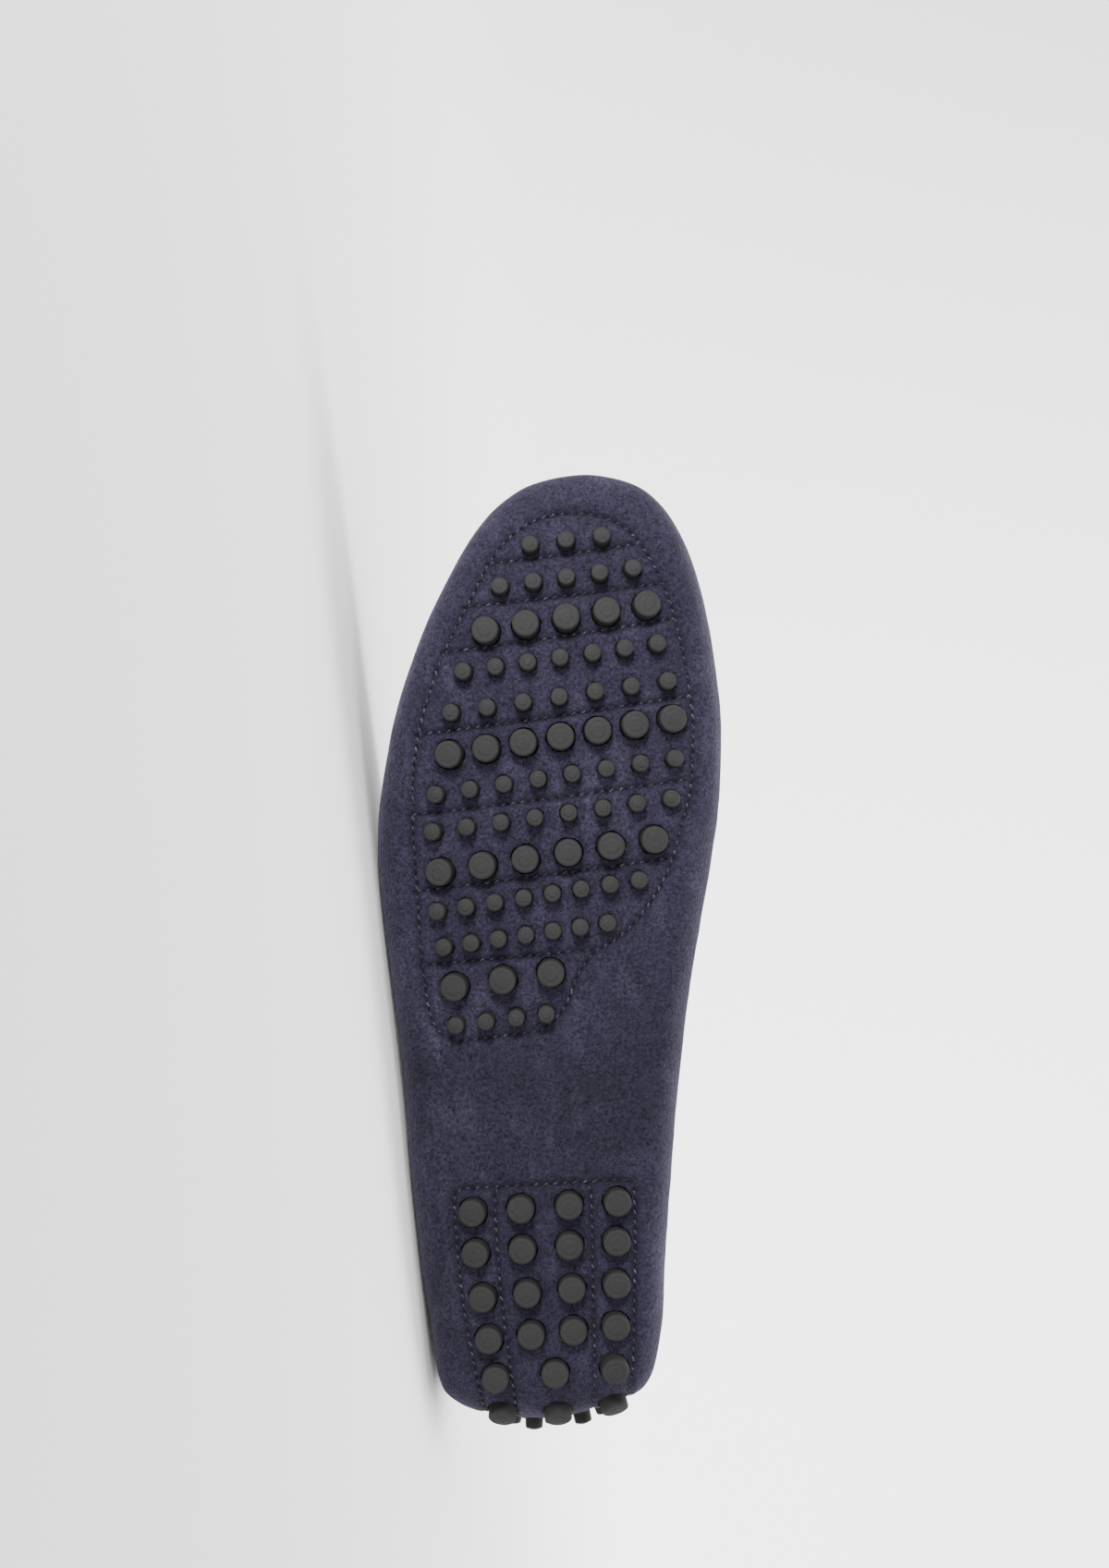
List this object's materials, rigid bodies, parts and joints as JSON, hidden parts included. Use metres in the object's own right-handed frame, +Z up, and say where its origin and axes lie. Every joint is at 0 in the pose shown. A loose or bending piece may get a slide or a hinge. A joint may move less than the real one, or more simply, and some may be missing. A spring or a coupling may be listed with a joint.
{
  "type": "driving moccasin",
  "caption": "Right suede driving moccasin lying on its outer side, with two rubber pads whose pebbles poke through the wrapped underside.",
  "frame": {"origin": "on the floor under the middle of the shoe, which lies on its outer side", "axes": "+X from the toe to the heel, +Z up, -Y the way that the sole faces"},
  "size_m": [0.2886, 0.0706, 0.1082],
  "materials": {
    "navy_suede": "brushed suede, matte",
    "navy_binding": "soft leather, satin",
    "charcoal_rubber": "moulded rubber, matte",
    "leather_lining": "smooth lining leather"
  },
  "bodies": {
    "root": {"upper": "navy_suede", "apron": "navy_suede", "collar_binding": "navy_binding", "forefoot_pad": "charcoal_rubber", "heel_pad": "charcoal_rubber", "insole": "leather_lining"}
  },
  "joints": []
}
